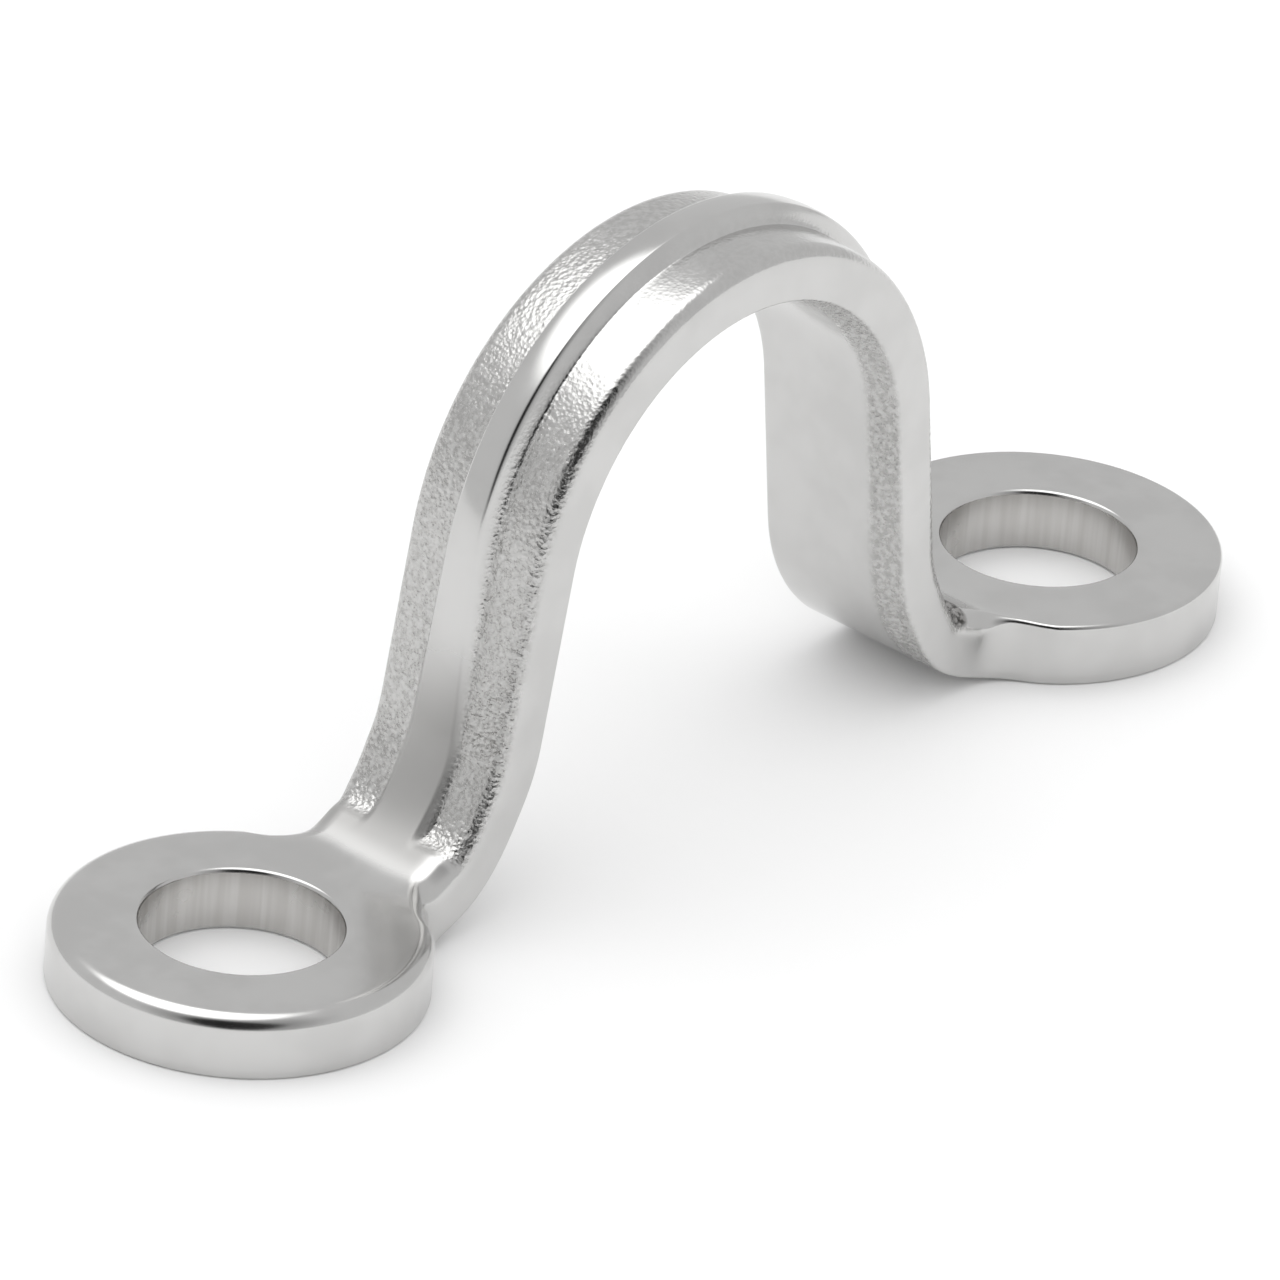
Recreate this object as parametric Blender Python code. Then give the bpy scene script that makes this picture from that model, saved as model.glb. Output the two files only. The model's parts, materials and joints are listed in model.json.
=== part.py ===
"""Eye-strap fairlead: one pressed and bent stainless bar with a punched eye at each end.

The bar is laid out flat, then wrapped along the bend line of the bridge.
Length runs along X, width along Y and the deck face is the plane z = 0.
"""

import math

import bmesh
import bpy

MM = 0.001

# Driving sizes, in millimetres.
HOLE_SPACING = 38.0
HOLE_DIAMETER = 6.4
EYE_DIAMETER = 12.0
EYE_THICKNESS = 2.15
BAR_WIDTH = 5.5
ARCH_RADIUS = 7.45
ARCH_CENTRE_HEIGHT = 10.15
FOOT_BEND_RADIUS = 6.7
FOOT_BEND_START = 14.85
NECK_FILLET = 2.2
NECK_LENGTH = 7.6

# Section of the bridge: raised rib, sunk shoulders, thin side faces.
RIB_HALF_WIDTH = 0.56
RIB_FOOT_HALF_WIDTH = 0.9
RIB_STEP = 0.26
RIB_THICKNESS = 2.8
RIB_FOOT_THICKNESS = 2.45
RIB_TAPER_START = 10.5
RIB_TAPER_END = 23.0
SHOULDER_TOP = 2.2
SHOULDER_EDGE = 2.14
UNDER_FLAT_HALF_WIDTH = 1.65
UNDER_BEVEL = 0.34
BEVEL_LEAD = 0.1

# Edge treatment.
EYE_ROUND = 0.45
BAR_ROUND = 0.42
EDGE_BREAK = 0.12
HOLE_BREAK = 0.14

# Where the section changes from eye to bridge, measured along the bar from the hole centre.
SHOULDER_START = 7.7
SHOULDER_END = 8.7
SCOOP = 0.22
RIB_START = 7.0
RIB_END = 11.5
ROUND_START = 5.2
ROUND_END = 8.6

# Mesh density. The marks are distances from the middle of the bar, close together at the rib's step.
TOP_MARKS = (0.0, 0.5, 0.62, 0.74, 0.86, 0.98, 1.1, 1.2, 1.7)
UNDER_MARKS = (0.0, UNDER_FLAT_HALF_WIDTH - BEVEL_LEAD, 2.1)
FILLET_SHARE = 0.8
NECK_STEPS = 5
FOOT_BEND_STEPS = 13
LEG_STEPS = 3
ARCH_STEPS = 18
EYE_STEPS = 40
EYE_RINGS = 3
ROUND_STEPS = 4
MERGE = 0.001
SHARP_ANGLE = 35


def smooth(low, high, value):
    """Ease from 0 at low to 1 at high."""
    t = min(1.0, max(0.0, (value - low) / (high - low)))
    return t * t * (3.0 - 2.0 * t)


def mix(a, b, t):
    return a + (b - a) * t


class BendLine:
    """Underside of the bar from one hole centre to the middle of the arch."""

    def __init__(self):
        gap_x = FOOT_BEND_START
        gap_z = FOOT_BEND_RADIUS - ARCH_CENTRE_HEIGHT
        reach = math.hypot(gap_x, gap_z)
        radii = ARCH_RADIUS + FOOT_BEND_RADIUS
        self.turn = math.asin(radii / reach) - math.atan2(gap_z, gap_x)
        self.flat = HOLE_SPACING / 2 - FOOT_BEND_START
        self.leg = math.sqrt(reach * reach - radii * radii)
        self.foot_end = self.flat + FOOT_BEND_RADIUS * self.turn
        self.leg_end = self.foot_end + self.leg
        self.total = self.leg_end + ARCH_RADIUS * self.turn

    def half(self, along):
        """Point and outward normal at a distance from the hole centre, for the +X half."""
        if along <= self.flat:
            return HOLE_SPACING / 2 - along, 0.0, 0.0
        if along <= self.foot_end:
            angle = (along - self.flat) / FOOT_BEND_RADIUS
            x = FOOT_BEND_START - FOOT_BEND_RADIUS * math.sin(angle)
            return x, FOOT_BEND_RADIUS * (1.0 - math.cos(angle)), angle
        x = FOOT_BEND_START - FOOT_BEND_RADIUS * math.sin(self.turn)
        z = FOOT_BEND_RADIUS * (1.0 - math.cos(self.turn))
        if along <= self.leg_end:
            run = along - self.foot_end
            return x - run * math.cos(self.turn), z + run * math.sin(self.turn), self.turn
        angle = (self.total - along) / ARCH_RADIUS
        x = ARCH_RADIUS * math.sin(angle)
        return x, ARCH_CENTRE_HEIGHT + ARCH_RADIUS * math.cos(angle), angle

    def place(self, side, along, across, height):
        """Wrap a point of the flat bar onto the bend line."""
        if along > self.total:
            side = -side
            along = 2.0 * self.total - along
        x, z, angle = self.half(along)
        x += height * math.sin(angle)
        z += height * math.cos(angle)
        return (side * x * MM, across * MM, z * MM)


def top_height(along, across):
    """Height of the outer face above the bend line."""
    y = abs(across)
    taper = smooth(RIB_TAPER_START, RIB_TAPER_END, along)
    half = mix(RIB_FOOT_HALF_WIDTH, RIB_HALF_WIDTH, taper)
    crest = mix(RIB_FOOT_THICKNESS, RIB_THICKNESS, taper)
    rib = mix(EYE_THICKNESS, crest, smooth(RIB_START, RIB_END, along))
    sunk = mix(EYE_THICKNESS, SHOULDER_TOP, smooth(SHOULDER_END, RIB_END, along))
    scoop = SCOOP * smooth(SHOULDER_START, SHOULDER_END, along)
    scoop *= 1.0 - smooth(SHOULDER_END, RIB_END, along)
    fall = min(1.0, max(0.0, (y - half) / (BAR_WIDTH / 2 - half))) ** 2
    fall *= (SHOULDER_TOP - SHOULDER_EDGE) * smooth(SHOULDER_START, RIB_END, along)
    sunk -= scoop + fall
    return mix(rib, sunk, smooth(half, half + RIB_STEP, y))


def under_height(along, across):
    """Height of the inner face above the bend line, with the bevel along its -Y edge."""
    bevel = UNDER_BEVEL * smooth(UNDER_FLAT_HALF_WIDTH - BEVEL_LEAD, BAR_WIDTH / 2, -across)
    return bevel * smooth(SHOULDER_START, RIB_END, along)


def edge_round(along):
    """Round-over on the outer edge, from the eye to the bridge."""
    return mix(EYE_ROUND, BAR_ROUND, smooth(ROUND_START, ROUND_END, along))


def neck_outline():
    """Fillet between the eye and the bar: centre distance, end distance and tangent angle."""
    radius = EYE_DIAMETER / 2
    centre_y = BAR_WIDTH / 2 + NECK_FILLET
    centre_a = math.sqrt((radius + NECK_FILLET) ** 2 - centre_y ** 2)
    return centre_a, centre_y, math.atan2(centre_y, centre_a)


def station_frames(line):
    """Corner position, plan normal, middle position and blend for every bridge station."""
    centre_a, centre_y, tangent = neck_outline()
    radius = EYE_DIAMETER / 2
    frames = []
    for i in range(NECK_STEPS + 1):
        t = i / NECK_STEPS
        angle = tangent + (math.pi / 2 - tangent) * min(1.0, t / FILLET_SHARE)
        normal = (math.cos(angle), math.sin(angle))
        corner = (centre_a - NECK_FILLET * normal[0], centre_y - NECK_FILLET * normal[1])
        if t > FILLET_SHARE:
            past = (t - FILLET_SHARE) / (1.0 - FILLET_SHARE)
            corner = (mix(centre_a, NECK_LENGTH, past), BAR_WIDTH / 2)
        middle = radius + (NECK_LENGTH - radius) * t
        frames.append((corner, normal, middle, 1.0 - t))
    spans = [
        (NECK_LENGTH, line.foot_end, FOOT_BEND_STEPS),
        (line.foot_end, line.leg_end, LEG_STEPS),
        (line.leg_end, line.total, ARCH_STEPS),
    ]
    for start, end, steps in spans:
        for i in range(1, steps + 1):
            along = start + (end - start) * i / steps
            frames.append(((along, BAR_WIDTH / 2), (0.0, 1.0), along, 0.0))
    return frames


def top_stops():
    """Fractions of the half width where the outer face carries points."""
    half = BAR_WIDTH / 2 - BAR_ROUND
    right = [mark / half for mark in TOP_MARKS] + [1.0]
    return [-m for m in reversed(right[1:])] + right


def under_stops():
    """Fractions of the half width where the inner face carries points."""
    half = BAR_WIDTH / 2 - EDGE_BREAK
    right = [mark / half for mark in UNDER_MARKS] + [1.0]
    return [-m for m in reversed(right[1:])] + right


def across_points(frame, stops, inset):
    """Flat-bar points across one station, between the two inset outlines."""
    corner, normal, middle, blend = frame
    tangent = neck_outline()[2]
    edge_a = corner[0] - inset * normal[0]
    edge_y = corner[1] - inset * normal[1]
    points = []
    for v in stops:
        bow = (1.0 - math.cos(v * tangent)) / (1.0 - math.cos(tangent))
        bow = blend * bow + (1.0 - blend) * v * v
        centre = middle - inset * blend
        wide = blend * math.sin(v * tangent) / math.sin(tangent) + (1.0 - blend) * v
        points.append((centre + (edge_a - centre) * bow, edge_y * wide))
    return points


def section_ring(frame):
    """Closed ring of (along, across, height) round the bar at one station."""
    corner, normal = frame[0], frame[1]
    rounding = edge_round(corner[0])
    ring = []
    for a, y in across_points(frame, top_stops(), rounding):
        ring.append((a, y, top_height(a, y)))
    ring += edge_points(corner, normal, rounding, 1)
    for a, y in reversed(across_points(frame, under_stops(), EDGE_BREAK)):
        ring.append((a, y, under_height(a, y)))
    ring += reversed(edge_points(corner, normal, rounding, -1))
    return ring


def edge_points(corner, normal, rounding, hand):
    """Round-over and side face between the outer and inner faces."""
    normal = (normal[0], hand * normal[1])
    corner = (corner[0], hand * corner[1])
    inner_a = corner[0] - rounding * normal[0]
    inner_y = corner[1] - rounding * normal[1]
    top = top_height(inner_a, inner_y)
    points = []
    for k in range(1, ROUND_STEPS + 1):
        angle = math.pi / 2 * k / ROUND_STEPS
        out = rounding * math.sin(angle)
        down = rounding * (1.0 - math.cos(angle))
        points.append((inner_a + out * normal[0], inner_y + out * normal[1], top - down))
    low = under_height(corner[0], corner[1]) + EDGE_BREAK
    points.append((corner[0], corner[1], low))
    return points


def rings(inner, outer, height):
    """Radius and height stops of a flat ring."""
    return [(mix(inner, outer, k / EYE_RINGS), height) for k in range(EYE_RINGS + 1)]


class StrapMesh:
    """Collects the points and faces of the whole bar."""

    def __init__(self):
        self.line = BendLine()
        self.points = []
        self.faces = []

    def add(self, side, along, across, height):
        self.points.append(self.line.place(side, along, across, height))
        return len(self.points) - 1

    def skin(self, rows, flip=False, closed=False):
        """Join neighbouring rows of points with quads."""
        for first, second in zip(rows[:-1], rows[1:]):
            count = len(first)
            for j in range(count if closed else count - 1):
                k = (j + 1) % count
                quad = [first[j], second[j], second[k], first[k]]
                self.faces.append(quad[::-1] if flip else quad)

    def bridge(self):
        half = [section_ring(frame) for frame in station_frames(self.line)]
        rows = [[self.add(1, *p) for p in ring] for ring in half]
        left = [[self.add(-1, *p) for p in ring] for ring in half[:-1]]
        rows += list(reversed(left))
        self.skin(rows, closed=True)

    def eye(self, side):
        tangent = neck_outline()[2]
        rim = []
        for k in range(EYE_STEPS + 1):
            rim.append(tangent + (2.0 * math.pi - 2.0 * tangent) * k / EYE_STEPS)
        top_angles = [v * tangent for v in top_stops()]
        low_angles = [v * tangent for v in under_stops()]
        flip = side > 0
        radius = EYE_DIAMETER / 2
        wide = HOLE_DIAMETER / 2 + HOLE_BREAK
        top = rings(wide, radius - EYE_ROUND, EYE_THICKNESS)
        low = rings(wide, radius - EDGE_BREAK, 0.0)
        edge = [(radius - EYE_ROUND, EYE_THICKNESS)]
        edge += [(a, h) for a, _, h in edge_points((radius, 0.0), (1.0, 0.0), EYE_ROUND, 1)]
        edge.append((radius - EDGE_BREAK, 0.0))
        self.polar(side, top, rim, not flip)
        self.polar(side, top, top_angles, not flip)
        self.polar(side, low, rim, flip)
        self.polar(side, low, low_angles, flip)
        self.polar(side, edge, rim, not flip)
        self.bore(side, rim, top_angles, low_angles, flip)

    def polar(self, side, stops, angles, flip):
        rows = []
        for angle in angles:
            row = []
            for r, h in stops:
                row.append(self.add(side, r * math.cos(angle), r * math.sin(angle), h))
            rows.append(row)
        self.skin(rows, flip)

    def bore(self, side, rim, top_angles, low_angles, flip):
        bore = HOLE_DIAMETER / 2
        wide = bore + HOLE_BREAK
        top = EYE_THICKNESS
        self.polar(side, [(bore, top - HOLE_BREAK), (wide, top)], rim, not flip)
        self.polar(side, [(wide, 0.0), (bore, HOLE_BREAK)], rim, not flip)
        self.polar(side, [(bore, HOLE_BREAK), (bore, top - HOLE_BREAK)], rim, not flip)
        self.polar(side, [(bore, top - HOLE_BREAK), (wide, top)], top_angles, not flip)
        self.polar(side, [(wide, 0.0), (bore, HOLE_BREAK)], low_angles, not flip)
        upper = self.arc(side, bore, top_angles, top - HOLE_BREAK)
        lower = self.arc(side, bore, low_angles, HOLE_BREAK)
        self.zip_rows(lower, low_angles, upper, top_angles, flip)

    def arc(self, side, radius, angles, height):
        return [self.add(side, radius * math.cos(a), radius * math.sin(a), height) for a in angles]

    def zip_rows(self, lower, low_angles, upper, top_angles, flip):
        """Triangulate between two rows that carry different point counts."""
        i = 0
        j = 0
        while i < len(lower) - 1 or j < len(upper) - 1:
            step_low = j == len(upper) - 1
            if i < len(lower) - 1 and not step_low:
                step_low = low_angles[i + 1] < top_angles[j + 1]
            if step_low:
                face = [lower[i], lower[i + 1], upper[j]]
                i += 1
            else:
                face = [lower[i], upper[j + 1], upper[j]]
                j += 1
            self.faces.append(face if flip else face[::-1])


def steel():
    material = bpy.data.materials.new("Bright stainless steel")
    material.use_nodes = True
    shader = material.node_tree.nodes["Principled BSDF"]
    shader.inputs["Base Color"].default_value = (0.62, 0.62, 0.61, 1.0)
    shader.inputs["Metallic"].default_value = 1.0
    shader.inputs["Roughness"].default_value = 0.24
    return material


def build():
    for item in list(bpy.data.objects):
        bpy.data.objects.remove(item, do_unlink=True)
    strap = StrapMesh()
    strap.bridge()
    strap.eye(1)
    strap.eye(-1)
    mesh = bpy.data.meshes.new("strap")
    mesh.from_pydata(strap.points, [], strap.faces)
    work = bmesh.new()
    work.from_mesh(mesh)
    bmesh.ops.remove_doubles(work, verts=work.verts, dist=MERGE * MM)
    bmesh.ops.recalc_face_normals(work, faces=work.faces)
    work.to_mesh(mesh)
    work.free()
    strap_object = bpy.data.objects.new("strap", mesh)
    bpy.context.collection.objects.link(strap_object)
    mesh.materials.append(steel())
    mesh.shade_smooth()
    mesh.set_sharp_from_angle(angle=math.radians(SHARP_ANGLE))


build()
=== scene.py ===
"""Looks of the eye-strap fairlead: a fine mesh of the bar, its steel finish, and the studio."""

import json
import math

import bmesh
import bpy
from mathutils import Matrix, Vector, noise

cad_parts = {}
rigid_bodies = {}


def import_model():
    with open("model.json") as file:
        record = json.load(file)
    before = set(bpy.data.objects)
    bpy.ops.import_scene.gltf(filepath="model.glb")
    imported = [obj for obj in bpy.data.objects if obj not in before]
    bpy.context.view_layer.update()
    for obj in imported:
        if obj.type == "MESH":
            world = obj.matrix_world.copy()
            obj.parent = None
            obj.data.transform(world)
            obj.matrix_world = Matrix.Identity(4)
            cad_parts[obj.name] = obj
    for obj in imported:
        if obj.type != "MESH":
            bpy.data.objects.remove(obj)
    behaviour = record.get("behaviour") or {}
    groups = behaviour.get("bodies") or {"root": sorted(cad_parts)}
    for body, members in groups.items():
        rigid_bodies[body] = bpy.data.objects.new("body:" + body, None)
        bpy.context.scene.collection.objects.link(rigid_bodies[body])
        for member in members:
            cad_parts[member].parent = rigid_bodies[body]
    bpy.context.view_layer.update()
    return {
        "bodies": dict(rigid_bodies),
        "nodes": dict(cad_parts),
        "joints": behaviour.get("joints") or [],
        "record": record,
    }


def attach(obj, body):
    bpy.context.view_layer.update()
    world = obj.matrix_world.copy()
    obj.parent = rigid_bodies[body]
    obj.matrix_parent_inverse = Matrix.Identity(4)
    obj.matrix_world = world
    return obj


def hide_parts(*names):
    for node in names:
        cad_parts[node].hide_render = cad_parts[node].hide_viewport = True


MM = 0.001

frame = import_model()

# Sizes of the bar in millimetres: the CAD solid's, with small wear on its edges and shoulders.
HOLE_SPACING = 38.0
HOLE_DIAMETER = 6.4
EYE_DIAMETER = 12.0
EYE_THICKNESS = 2.15
BAR_WIDTH = 5.5
ARCH_RADIUS = 7.45
ARCH_CENTRE_HEIGHT = 10.15
FOOT_BEND_RADIUS = 6.7
FOOT_BEND_START = 14.85
NECK_FILLET = 2.2
NECK_LENGTH = 7.6

RIB_HALF_WIDTH = 0.56
RIB_FOOT_HALF_WIDTH = 0.9
RIB_STEP = 0.3
RIB_CROWN = 0.05
RIB_THICKNESS = 2.8
RIB_FOOT_THICKNESS = 2.45
RIB_TAPER_START = 10.5
RIB_TAPER_END = 23.0
SHOULDER_TOP = 2.2
SHOULDER_EDGE = 2.09
UNDER_FLAT_HALF_WIDTH = 1.65
UNDER_BEVEL = 0.34
BEVEL_LEAD = 0.1
STEP_LEAD = 0.08

EYE_ROUND_LEFT = 0.55
EYE_ROUND_RIGHT = 0.15
NECK_ROUND = 0.4
BAR_ROUND = 0.55
EDGE_BREAK = 0.12
HOLE_BREAK = 0.14

SHOULDER_START = 7.7
SHOULDER_END = 8.7
SCOOP = 0.22
RIB_START = 7.0
RIB_END = 11.5
ROUND_START = 5.2
ROUND_END = 8.6
NECK_ROUND_RISE = (ROUND_START, 6.8)
NECK_ROUND_FADE = (7.6, 9.6)

# Spans over which each finish and each painted shade come and go: along the bar, then across it.
GRAIN_RISE = (7.9, 8.6)
GRAIN_FADE = (20.0, 26.0)
CROWN_GRAIN_FRONT = 0.18
CROWN_GRAIN_BACK = 0.5
BEVEL_GRAIN_RISE = (8.0, 9.0)
# These three spans place the duller finish by the necks and the painted shade that dims its highlight.
SATIN_AND_SHADE_RISE = (5.6, 7.6)
SATIN_AND_SHADE_FADE = (13.5, 17.5)
SATIN_AND_SHADE_ACROSS = (-2.3, -1.5)
# These four spans place the painted shade in the right eye's front corner.
CORNER_SHADE_RISE = (7.3, 8.2)
CORNER_SHADE_FADE = (8.8, 10.8)
CORNER_SHADE_INNER = (0.7, 1.8)
CORNER_SHADE_OUTER = (2.5, 2.8)

# Unevenness of the grainy zones, in metres.
MERGE_DISTANCE = 0.000001
GRAIN_LIFT = 0.000006
GRAIN_WAVES_PER_METRE = 3400.0
BUMP_DEPTH = 0.000036

# Mesh density.
STATION_LENGTH = 0.13
NECK_STEPS = 24
EYE_STEPS = 200
EYE_RINGS = 12
ROUND_STEPS = 10
TOP_STOPS = 84
UNDER_STOPS = 48
SIDE_STOPS = 7
FILLET_SHARE = 0.8


def smooth(low, high, value):
    """Ease from 0 at low to 1 at high."""
    t = min(1.0, max(0.0, (value - low) / (high - low)))
    return t * t * (3.0 - 2.0 * t)


def mix(a, b, t):
    return a + (b - a) * t


class BendLine:
    """Underside of the bar from one hole centre to the middle of the arch."""

    def __init__(self):
        gap_x = FOOT_BEND_START
        gap_z = FOOT_BEND_RADIUS - ARCH_CENTRE_HEIGHT
        reach = math.hypot(gap_x, gap_z)
        radii = ARCH_RADIUS + FOOT_BEND_RADIUS
        self.turn = math.asin(radii / reach) - math.atan2(gap_z, gap_x)
        self.flat = HOLE_SPACING / 2 - FOOT_BEND_START
        self.leg = math.sqrt(reach * reach - radii * radii)
        self.foot_end = self.flat + FOOT_BEND_RADIUS * self.turn
        self.leg_end = self.foot_end + self.leg
        self.total = self.leg_end + ARCH_RADIUS * self.turn

    def half(self, along):
        """Point and outward normal at a distance from the hole centre, for the +X half."""
        if along <= self.flat:
            return HOLE_SPACING / 2 - along, 0.0, 0.0
        if along <= self.foot_end:
            angle = (along - self.flat) / FOOT_BEND_RADIUS
            x = FOOT_BEND_START - FOOT_BEND_RADIUS * math.sin(angle)
            return x, FOOT_BEND_RADIUS * (1.0 - math.cos(angle)), angle
        x = FOOT_BEND_START - FOOT_BEND_RADIUS * math.sin(self.turn)
        z = FOOT_BEND_RADIUS * (1.0 - math.cos(self.turn))
        if along <= self.leg_end:
            run = along - self.foot_end
            return x - run * math.cos(self.turn), z + run * math.sin(self.turn), self.turn
        angle = (self.total - along) / ARCH_RADIUS
        x = ARCH_RADIUS * math.sin(angle)
        return x, ARCH_CENTRE_HEIGHT + ARCH_RADIUS * math.cos(angle), angle

    def place(self, side, along, across, height):
        """Wrap a point of the flat bar onto the bend line."""
        x, z, angle = self.half(along)
        x += height * math.sin(angle)
        z += height * math.cos(angle)
        return Vector((side * x * MM, across * MM, z * MM))


def top_height(along, across):
    """Height of the outer face above the bend line."""
    y = abs(across)
    taper = smooth(RIB_TAPER_START, RIB_TAPER_END, along)
    half = mix(RIB_FOOT_HALF_WIDTH, RIB_HALF_WIDTH, taper)
    crest = mix(RIB_FOOT_THICKNESS, RIB_THICKNESS, taper)
    rib = mix(EYE_THICKNESS, crest, smooth(RIB_START, RIB_END, along))
    sunk = mix(EYE_THICKNESS, SHOULDER_TOP, smooth(SHOULDER_END, RIB_END, along))
    scoop = SCOOP * smooth(SHOULDER_START, SHOULDER_END, along)
    scoop *= 1.0 - smooth(SHOULDER_END, RIB_END, along)
    fall = min(1.0, max(0.0, (y - half) / (BAR_WIDTH / 2 - half))) ** 2
    fall *= (SHOULDER_TOP - SHOULDER_EDGE) * smooth(SHOULDER_START, RIB_END, along)
    sunk -= scoop + fall
    rib -= RIB_CROWN * min(1.0, y / half) ** 2 * smooth(RIB_START, RIB_END, along)
    return mix(rib, sunk, smooth(half - STEP_LEAD, half + RIB_STEP, y))


def under_height(along, across):
    """Height of the inner face above the bend line, with the bevel along its -Y edge."""
    bevel = UNDER_BEVEL * smooth(UNDER_FLAT_HALF_WIDTH - BEVEL_LEAD, BAR_WIDTH / 2, -across)
    return bevel * smooth(SHOULDER_START, RIB_END, along)


def eye_round(side):
    return EYE_ROUND_LEFT if side < 0 else EYE_ROUND_RIGHT


def edge_round(along, side):
    """Round-over on the outer edge: widest at the left eye, with a swell at each neck."""
    base = mix(eye_round(side), BAR_ROUND, smooth(ROUND_START, ROUND_END, along))
    return base + NECK_ROUND * smooth(*NECK_ROUND_RISE, along) * (1.0 - smooth(*NECK_ROUND_FADE, along))


def top_grain(along, across):
    """Share of the grainy as-pressed finish on the outer face."""
    y = abs(across)
    half = mix(RIB_FOOT_HALF_WIDTH, RIB_HALF_WIDTH, smooth(RIB_TAPER_START, RIB_TAPER_END, along))
    at_crown = CROWN_GRAIN_FRONT if across < 0 else CROWN_GRAIN_BACK
    smoother = mix(1.0, at_crown, smooth(*GRAIN_FADE, along))
    return smooth(half + 0.02, half + RIB_STEP, y) * smooth(*GRAIN_RISE, along) * smoother


def satin_and_shade(along, across, height):
    """Share of the duller, finely rubbed finish where the rib runs out into the eye; the same share paints
    shade there, darkening the colour to dim the highlight.
    """
    if height < EYE_THICKNESS / 2:
        return 0.0
    share = smooth(*SATIN_AND_SHADE_RISE, along) * (1.0 - smooth(*SATIN_AND_SHADE_FADE, along))
    return share * smooth(*SATIN_AND_SHADE_ACROSS, across)


def painted_corner_shade(side, along, across, height):
    """Share of the painted shade: a near-black patch in the corner where the front shoulder meets the right
    eye.
    """
    if side < 0 or height < EYE_THICKNESS / 2:
        return 0.0
    share = smooth(*CORNER_SHADE_INNER, -across) * (1.0 - smooth(*CORNER_SHADE_OUTER, -across))
    return share * smooth(*CORNER_SHADE_RISE, along) * (1.0 - smooth(*CORNER_SHADE_FADE, along))


def under_grain(along, across):
    """Share of the grainy finish on the inner face's bevel."""
    ramp = smooth(UNDER_FLAT_HALF_WIDTH - 0.15, UNDER_FLAT_HALF_WIDTH + 0.2, -across)
    return ramp * smooth(*BEVEL_GRAIN_RISE, along)


def neck_outline():
    """Fillet between the eye and the bar: centre distance, end distance and tangent angle."""
    radius = EYE_DIAMETER / 2
    centre_y = BAR_WIDTH / 2 + NECK_FILLET
    centre_a = math.sqrt((radius + NECK_FILLET) ** 2 - centre_y ** 2)
    return centre_a, centre_y, math.atan2(centre_y, centre_a)


def station_frames(line):
    """Corner position, plan normal, middle position and blend for every bridge station."""
    centre_a, centre_y, tangent = neck_outline()
    radius = EYE_DIAMETER / 2
    frames = []
    for i in range(NECK_STEPS + 1):
        t = i / NECK_STEPS
        angle = tangent + (math.pi / 2 - tangent) * min(1.0, t / FILLET_SHARE)
        normal = (math.cos(angle), math.sin(angle))
        corner = (centre_a - NECK_FILLET * normal[0], centre_y - NECK_FILLET * normal[1])
        if t > FILLET_SHARE:
            past = (t - FILLET_SHARE) / (1.0 - FILLET_SHARE)
            corner = (mix(centre_a, NECK_LENGTH, past), BAR_WIDTH / 2)
        middle = mix(radius, NECK_LENGTH, t)
        frames.append((corner, normal, middle, 1.0 - t))
    count = math.ceil((line.total - NECK_LENGTH) / STATION_LENGTH)
    for i in range(1, count + 1):
        along = mix(NECK_LENGTH, line.total, i / count)
        frames.append(((along, BAR_WIDTH / 2), (0.0, 1.0), along, 0.0))
    return frames


def even_stops(count):
    return [2.0 * i / count - 1.0 for i in range(count + 1)]


def across_points(frame, stops, inset):
    """Flat-bar points across one station, between the two inset outlines."""
    corner, normal, middle, blend = frame
    tangent = neck_outline()[2]
    edge_a = corner[0] - inset * normal[0]
    edge_y = corner[1] - inset * normal[1]
    points = []
    for v in stops:
        bow = (1.0 - math.cos(v * tangent)) / (1.0 - math.cos(tangent))
        bow = mix(v * v, bow, blend)
        centre = middle - inset * blend
        wide = mix(v, math.sin(v * tangent) / math.sin(tangent), blend)
        points.append((centre + (edge_a - centre) * bow, edge_y * wide))
    return points


def edge_points(corner, normal, rounding, hand):
    """Round-over and side face between the outer and inner faces, with the grain share."""
    normal = (normal[0], hand * normal[1])
    corner = (corner[0], hand * corner[1])
    inner_a = corner[0] - rounding * normal[0]
    inner_y = corner[1] - rounding * normal[1]
    top = top_height(inner_a, inner_y)
    points = []
    for k in range(1, ROUND_STEPS + 1):
        angle = math.pi / 2 * k / ROUND_STEPS
        out = rounding * math.sin(angle)
        down = rounding * (1.0 - math.cos(angle))
        grain = top_grain(inner_a, inner_y) * (1.0 - smooth(0.55, 0.9, k / ROUND_STEPS))
        points.append((inner_a + out * normal[0], inner_y + out * normal[1], top - down, grain))
    high = top - rounding
    low = under_height(corner[0], corner[1]) + EDGE_BREAK
    for k in range(1, SIDE_STOPS + 1):
        points.append((corner[0], corner[1], mix(high, low, k / SIDE_STOPS), 0.0))
    for k in range(1, 3):
        angle = math.pi / 6 * k
        inset = EDGE_BREAK * (1.0 - math.cos(angle))
        drop = EDGE_BREAK * math.sin(angle)
        a = corner[0] - inset * normal[0]
        y = corner[1] - inset * normal[1]
        points.append((a, y, low - drop, under_grain(a, y) * k / 3))
    return points


def section_ring(frame, end):
    """Closed ring of (along, across, height, grain) round the bar at one station."""
    corner, normal = frame[0], frame[1]
    rounding = edge_round(corner[0], end)
    ring = []
    for a, y in across_points(frame, even_stops(TOP_STOPS), rounding):
        ring.append((a, y, top_height(a, y), top_grain(a, y)))
    ring += edge_points(corner, normal, rounding, 1)
    for a, y in reversed(across_points(frame, even_stops(UNDER_STOPS), EDGE_BREAK)):
        ring.append((a, y, under_height(a, y), under_grain(a, y)))
    ring += reversed(edge_points(corner, normal, rounding, -1))
    return ring


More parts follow.
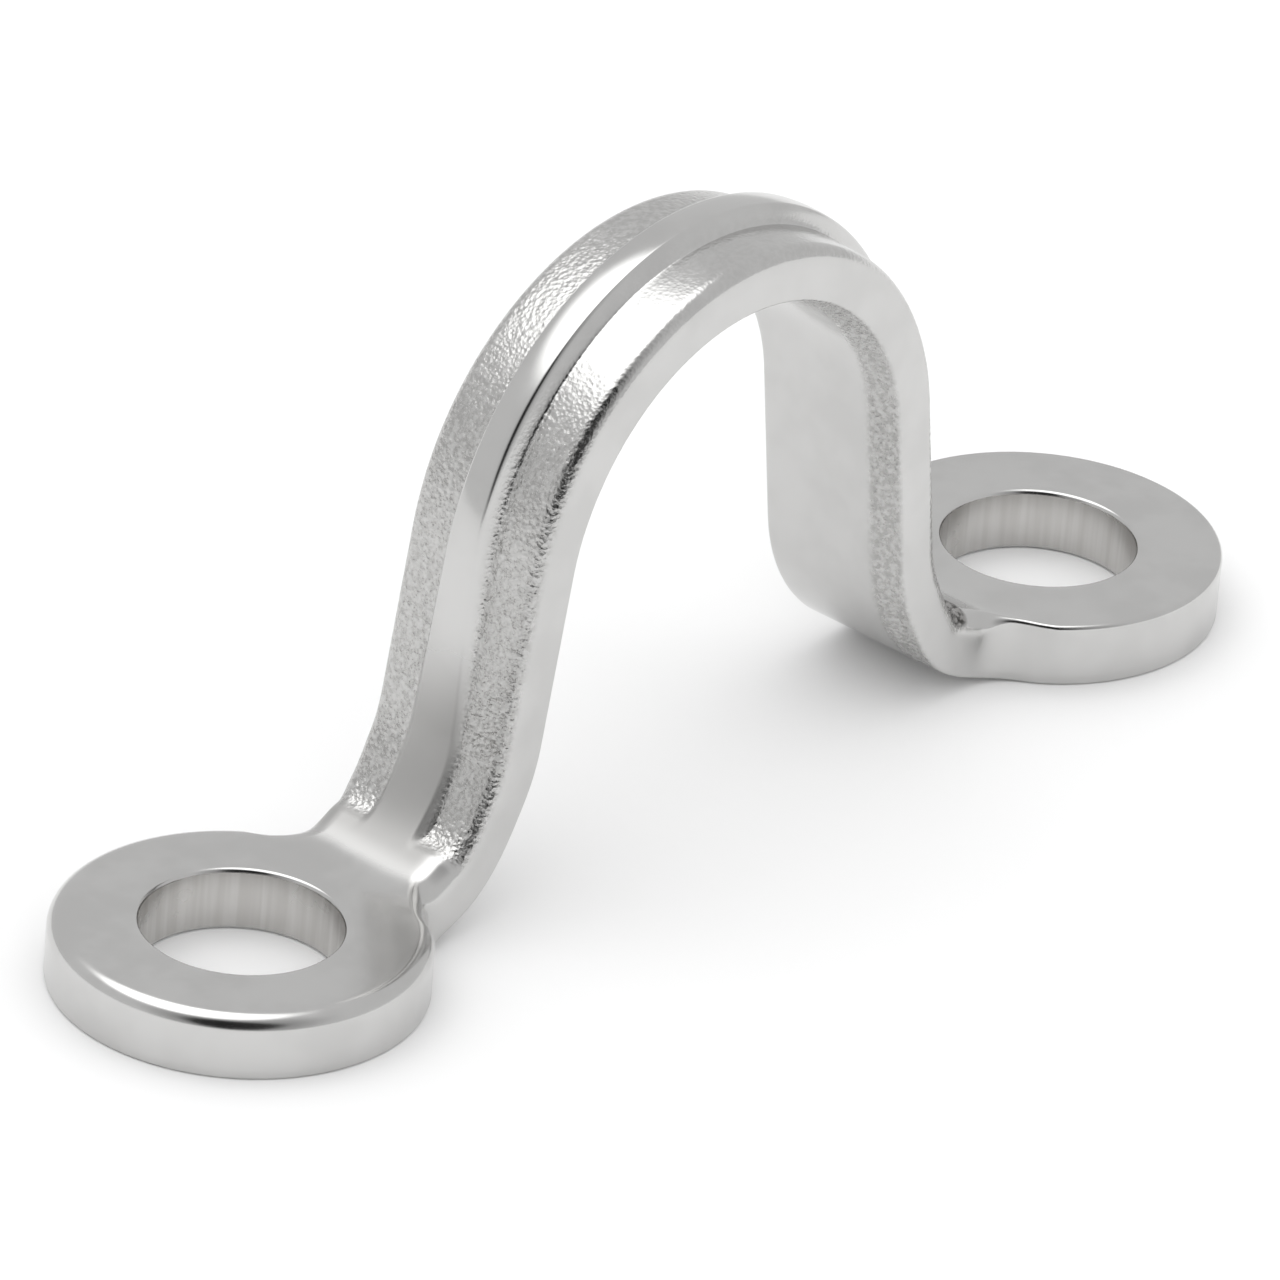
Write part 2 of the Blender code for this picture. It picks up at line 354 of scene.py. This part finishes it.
class StrapMesh:
    """Collects the points, finish shares and faces of the whole bar."""

    def __init__(self):
        self.line = BendLine()
        self.points = []
        self.grain = []
        self.bore_share = []
        self.satin_and_shade = []
        self.painted_corner_shade = []
        self.faces = []

    def add(self, side, along, across, height, grain=0.0, bore=0.0):
        self.points.append(self.line.place(side, along, across, height))
        self.grain.append(grain)
        self.bore_share.append(bore)
        self.satin_and_shade.append(satin_and_shade(along, across, height))
        self.painted_corner_shade.append(painted_corner_shade(side, along, across, height))
        return len(self.points) - 1

    def skin(self, rows, flip=False, closed=False):
        """Join neighbouring rows of points with quads."""
        for first, second in zip(rows[:-1], rows[1:]):
            count = len(first)
            for j in range(count if closed else count - 1):
                k = (j + 1) % count
                quad = [first[j], second[j], second[k], first[k]]
                self.faces.append(quad[::-1] if flip else quad)

    def bridge(self):
        frames = station_frames(self.line)
        rows = [[self.add(1, *p) for p in section_ring(f, 1)] for f in frames]
        left = [[self.add(-1, *p) for p in section_ring(f, -1)] for f in frames[:-1]]
        rows += list(reversed(left))
        self.skin(rows, closed=True)

    def eye(self, side):
        tangent = neck_outline()[2]
        step = (2.0 * math.pi - 2.0 * tangent) / EYE_STEPS
        rim = [tangent + step * k for k in range(EYE_STEPS + 1)]
        top_angles = [v * tangent for v in even_stops(TOP_STOPS)]
        low_angles = [v * tangent for v in even_stops(UNDER_STOPS)]
        flip = side > 0
        radius = EYE_DIAMETER / 2
        bore = HOLE_DIAMETER / 2
        rounding = eye_round(side)
        top = self.rings(bore + HOLE_BREAK, radius - rounding, EYE_THICKNESS)
        low = self.rings(bore + HOLE_BREAK, radius - EDGE_BREAK, 0.0)
        edge = [(radius - rounding, EYE_THICKNESS)]
        edge += [(a, h) for a, _, h, _ in edge_points((radius, 0.0), (1.0, 0.0), rounding, 1)]
        edge.append((radius - EDGE_BREAK, 0.0))
        self.polar(side, top, rim, not flip)
        self.polar(side, top, top_angles, not flip)
        self.polar(side, low, rim, flip)
        self.polar(side, low, low_angles, flip)
        self.polar(side, edge, rim, not flip)
        self.bore(side, rim, top_angles, low_angles, flip)

    def rings(self, inner, outer, height):
        return [(mix(inner, outer, k / EYE_RINGS), height) for k in range(EYE_RINGS + 1)]

    def polar(self, side, stops, angles, flip, bore=0.0):
        rows = []
        for angle in angles:
            row = []
            for r, h in stops:
                share = bore if r < HOLE_DIAMETER / 2 + 0.01 else 0.0
                row.append(self.add(side, r * math.cos(angle), r * math.sin(angle), h, 0.0, share))
            rows.append(row)
        self.skin(rows, flip)

    def bore(self, side, rim, top_angles, low_angles, flip):
        bore = HOLE_DIAMETER / 2
        lip = []
        for k in range(5):
            angle = math.pi / 8 * k
            r = bore + HOLE_BREAK * (1.0 - math.cos(angle))
            lip.append((r, HOLE_BREAK * math.sin(angle)))
        upper_lip = [(r, EYE_THICKNESS - HOLE_BREAK + h) for r, h in lip]
        lower_lip = [(r, HOLE_BREAK - h) for r, h in reversed(lip)]
        wall = [(bore, HOLE_BREAK), (bore, EYE_THICKNESS - HOLE_BREAK)]
        self.polar(side, upper_lip, rim, not flip, 1.0)
        self.polar(side, lower_lip, rim, not flip, 1.0)
        self.polar(side, wall, rim, not flip, 1.0)
        self.polar(side, upper_lip, top_angles, not flip, 1.0)
        self.polar(side, lower_lip, low_angles, not flip, 1.0)
        upper = [self.add(side, bore * math.cos(a), bore * math.sin(a), wall[1][1], 0, 1) for a in top_angles]
        lower = [self.add(side, bore * math.cos(a), bore * math.sin(a), wall[0][1], 0, 1) for a in low_angles]
        self.zip_rows(lower, low_angles, upper, top_angles, flip)

    def zip_rows(self, lower, low_angles, upper, top_angles, flip):
        """Triangulate between two rows that carry different point counts."""
        i = 0
        j = 0
        while i < len(lower) - 1 or j < len(upper) - 1:
            step_low = j == len(upper) - 1
            if i < len(lower) - 1 and not step_low:
                step_low = low_angles[i + 1] < top_angles[j + 1]
            if step_low:
                face = [lower[i], lower[i + 1], upper[j]]
                i += 1
            else:
                face = [lower[i], upper[j + 1], upper[j]]
                j += 1
            self.faces.append(face if flip else face[::-1])


class Nodes:
    """Short helper for wiring shader nodes."""

    def __init__(self, tree):
        self.tree = tree

    def add(self, kind, **values):
        node = self.tree.nodes.new(kind)
        for name, value in values.items():
            setattr(node, name, value)
        return node

    def link(self, source, target):
        self.tree.links.new(source, target)

    def math(self, operation, a, b=None, c=None, clamp=False):
        node = self.add("ShaderNodeMath", operation=operation, use_clamp=clamp)
        for socket, value in zip(node.inputs, (a, b, c)):
            self.feed(socket, value)
        return node.outputs[0]

    def feed(self, socket, value):
        if value is None:
            return
        if isinstance(value, (int, float, tuple)):
            socket.default_value = value
        else:
            self.link(value, socket)

    def map(self, value, low, high, to_low=0.0, to_high=1.0):
        node = self.add("ShaderNodeMapRange", interpolation_type="SMOOTHSTEP")
        for socket, item in zip(node.inputs, (value, low, high, to_low, to_high)):
            self.feed(socket, item)
        return node.outputs[0]

    def blend(self, share, a, b):
        node = self.add("ShaderNodeMix", data_type="RGBA")
        self.feed(node.inputs[0], share)
        self.feed(node.inputs[6], a)
        self.feed(node.inputs[7], b)
        return node.outputs[2]

    def noise(self, vector, scale, detail=2.0, rough=0.5):
        node = self.add("ShaderNodeTexNoise")
        self.link(vector, node.inputs["Vector"])
        node.inputs["Scale"].default_value = scale
        node.inputs["Detail"].default_value = detail
        node.inputs["Roughness"].default_value = rough
        return node.outputs["Fac"]


def steel():
    """Bright steel, grainy on the shoulders and bevel, streaked in the holes, dull by the necks, with painted
    shade darkening the necks and a near-black painted shade in the right eye's front corner.
    """
    material = bpy.data.materials.new("Stainless steel strap")
    material.use_nodes = True
    n = Nodes(material.node_tree)
    shader = material.node_tree.nodes["Principled BSDF"]
    shader.inputs["Metallic"].default_value = 1.0
    where = n.add("ShaderNodeTexCoord").outputs["Object"]
    grain = n.add("ShaderNodeAttribute", attribute_name="grain").outputs["Fac"]
    bore = n.add("ShaderNodeAttribute", attribute_name="bore").outputs["Fac"]
    satin_and_shade_zone = n.add("ShaderNodeAttribute", attribute_name="satin_and_shade").outputs["Fac"]
    corner_shade_zone = n.add("ShaderNodeAttribute", attribute_name="painted_corner_shade").outputs["Fac"]

    coarse = n.noise(where, 5200.0, 3.0, 0.6)
    pits = n.add("ShaderNodeTexVoronoi", feature="F1")
    n.link(where, pits.inputs["Vector"])
    pits.inputs["Scale"].default_value = 7000.0
    cloud = n.noise(where, 420.0, 3.0, 0.55)
    fine = n.noise(where, 9000.0, 2.0, 0.5)

    stretch = n.add("ShaderNodeMapping")
    n.link(where, stretch.inputs["Vector"])
    stretch.inputs["Scale"].default_value = (1.0, 1.0, 0.04)
    streaks = n.noise(stretch.outputs[0], 2600.0, 2.0, 0.6)

    rough_smooth = n.map(cloud, 0.3, 0.7, 0.15, 0.20)
    rough_smooth = n.math("MULTIPLY_ADD", satin_and_shade_zone, 0.34, rough_smooth)
    rough_grain = n.map(coarse, 0.3, 0.7, 0.20, 0.36)
    rough = n.math("MULTIPLY_ADD", n.math("SUBTRACT", rough_grain, rough_smooth), grain, rough_smooth)
    rough = n.math("MULTIPLY_ADD", bore, 0.12, rough)
    n.link(rough, shader.inputs["Roughness"])

    bright = n.blend(n.map(cloud, 0.35, 0.65), (0.57, 0.567, 0.560, 1.0), (0.61, 0.607, 0.60, 1.0))
    dull = n.blend(n.map(coarse, 0.35, 0.65), (0.44, 0.436, 0.427, 1.0), (0.60, 0.596, 0.588, 1.0))
    wall = n.blend(n.map(streaks, 0.35, 0.65), (0.56, 0.548, 0.532, 1.0), (0.63, 0.62, 0.606, 1.0))
    # Painted shade: the neck zone's colour is darkened to dim the highlight reflected there; the same zone
    # also raises the roughness.
    neck_painted_shade = n.blend(satin_and_shade_zone, bright, (0.47, 0.466, 0.458, 1.0))
    colour = n.blend(bore, n.blend(grain, neck_painted_shade, dull), wall)
    # Painted shade: near-black grainy colour laid over the right eye's front corner, where the shoulder meets
    # the eye.
    corner_shade_colour = n.blend(n.map(coarse, 0.4, 0.6), (0.05, 0.048, 0.044, 1.0), (0.36, 0.352, 0.343, 1.0))
    corner_shade_share = n.map(n.math("MULTIPLY_ADD", coarse, 0.8, corner_shade_zone), 0.55, 1.15)
    colour = n.blend(corner_shade_share, colour, corner_shade_colour)
    n.link(colour, shader.inputs["Base Color"])

    relief = n.math("MULTIPLY_ADD", pits.outputs["Distance"], 0.7, coarse)
    relief = n.math("MULTIPLY", relief, grain)
    polish = n.math("MULTIPLY", fine, 0.010)
    scored = n.math("MULTIPLY", n.math("MULTIPLY", streaks, bore), 0.35)
    height = n.math("ADD", n.math("ADD", relief, polish), scored)
    bump = n.add("ShaderNodeBump")
    bump.inputs["Strength"].default_value = 1.0
    bump.inputs["Distance"].default_value = BUMP_DEPTH
    n.link(height, bump.inputs["Height"])
    n.link(bump.outputs[0], shader.inputs["Normal"])
    return material


def make_strap():
    strap = StrapMesh()
    strap.bridge()
    strap.eye(1)
    strap.eye(-1)
    mesh = bpy.data.meshes.new("strap_body")
    mesh.from_pydata(strap.points, [], strap.faces)
    zones = {"grain": strap.grain, "bore": strap.bore_share, "satin_and_shade": strap.satin_and_shade, "painted_corner_shade": strap.painted_corner_shade}
    for name, values in zones.items():
        layer = mesh.attributes.new(name, "FLOAT", "POINT")
        layer.data.foreach_set("value", values)
    work = bmesh.new()
    work.from_mesh(mesh)
    bmesh.ops.remove_doubles(work, verts=work.verts, dist=MERGE_DISTANCE)
    bmesh.ops.recalc_face_normals(work, faces=work.faces)
    rough = work.verts.layers.float["grain"]
    for vert in work.verts:
        share = vert[rough]
        if share > 0.01:
            wave = noise.noise(vert.co * GRAIN_WAVES_PER_METRE)
            vert.co += vert.normal * share * (wave - 0.8) * GRAIN_LIFT
    work.to_mesh(mesh)
    work.free()
    body = bpy.data.objects.new("strap_body", mesh)
    bpy.context.collection.objects.link(body)
    mesh.shade_smooth()
    mesh.materials.append(steel())
    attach(body, "root")
    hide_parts("strap")
    return body


def make_floor():
    mesh = bpy.data.meshes.new("floor")
    half = 3.0
    corners = [(-half, -half, 0), (half, -half, 0), (half, half, 0), (-half, half, 0)]
    mesh.from_pydata(corners, [], [(0, 1, 2, 3)])
    floor = bpy.data.objects.new("floor", mesh)
    bpy.context.collection.objects.link(floor)
    material = bpy.data.materials.new("Pale floor")
    material.use_nodes = True
    n = Nodes(material.node_tree)
    shader = material.node_tree.nodes["Principled BSDF"]
    where = n.add("ShaderNodeTexCoord").outputs["Object"]
    tone = n.noise(where, 14.0, 3.0, 0.5)
    n.link(n.blend(tone, (0.93, 0.93, 0.93, 1.0), (0.95, 0.95, 0.95, 1.0)), shader.inputs["Base Color"])
    shader.inputs["Roughness"].default_value = 0.9
    mesh.materials.append(material)


def lobe(n, direction, toward, inner, outer):
    """Soft round patch of the sky: 1 within inner degrees of a direction, 0 past outer degrees."""
    dot = n.add("ShaderNodeVectorMath", operation="DOT_PRODUCT")
    n.link(direction, dot.inputs[0])
    dot.inputs[1].default_value = Vector(toward).normalized()
    low = math.cos(math.radians(outer))
    high = math.cos(math.radians(inner))
    return n.map(dot.outputs["Value"], low, high)


def aim(azimuth, elevation):
    """Direction from the object for an azimuth measured like the camera's."""
    a = math.radians(azimuth)
    e = math.radians(elevation)
    return (math.sin(a) * math.cos(e), -math.cos(a) * math.cos(e), math.sin(e))


def make_studio():
    """Pale studio with a bright patch overhead and a dark opening on one side; other rays see it even."""
    world = bpy.data.worlds.new("Studio")
    bpy.context.scene.world = world
    world.use_nodes = True
    n = Nodes(world.node_tree)
    background = world.node_tree.nodes["Background"]
    direction = n.add("ShaderNodeTexCoord").outputs["Generated"]
    level = n.math("MULTIPLY_ADD", lobe(n, direction, (-0.13, 0.22, 0.967), 22, 34), 1.6, 0.74)
    level = n.math("MULTIPLY_ADD", lobe(n, direction, aim(-50, 30), 28, 58), -0.30, level)
    level = n.math("MULTIPLY_ADD", lobe(n, direction, aim(-50, 30), 20, 31), -0.42, level)
    paths = n.add("ShaderNodeLightPath")
    even = n.math("MAXIMUM", paths.outputs["Is Camera Ray"], paths.outputs["Is Diffuse Ray"])
    level = n.math("MULTIPLY_ADD", n.math("SUBTRACT", 1.12, level), even, level)
    n.link(level, background.inputs["Strength"])
    background.inputs["Color"].default_value = (1.0, 1.0, 1.0, 1.0)


def make_camera():
    """Long lens at the usual three-quarter angle."""
    azimuth, elevation, roll = -50.7, 28.7, 5.0
    distance = 0.4638
    data = bpy.data.cameras.new("camera")
    data.sensor_width = 36.0
    data.lens = 421.7
    data.clip_start = 0.01
    data.clip_end = 50.0
    camera = bpy.data.objects.new("camera", data)
    bpy.context.collection.objects.link(camera)
    back = Vector(aim(azimuth, elevation))
    target = Vector((-0.172, -0.121, 0.25)) * HOLE_SPACING * MM
    right = Vector((0, 0, 1)).cross(back).normalized()
    up = back.cross(right)
    turn = math.radians(roll)
    side = right * math.cos(turn) + up * math.sin(turn)
    top = up * math.cos(turn) - right * math.sin(turn)
    facing = Matrix((side, top, back)).transposed().to_4x4()
    camera.matrix_world = Matrix.Translation(target + back * distance) @ facing
    bpy.context.scene.camera = camera
    bpy.context.scene.view_settings.view_transform = "Standard"


make_strap()
make_floor()
make_studio()
make_camera()
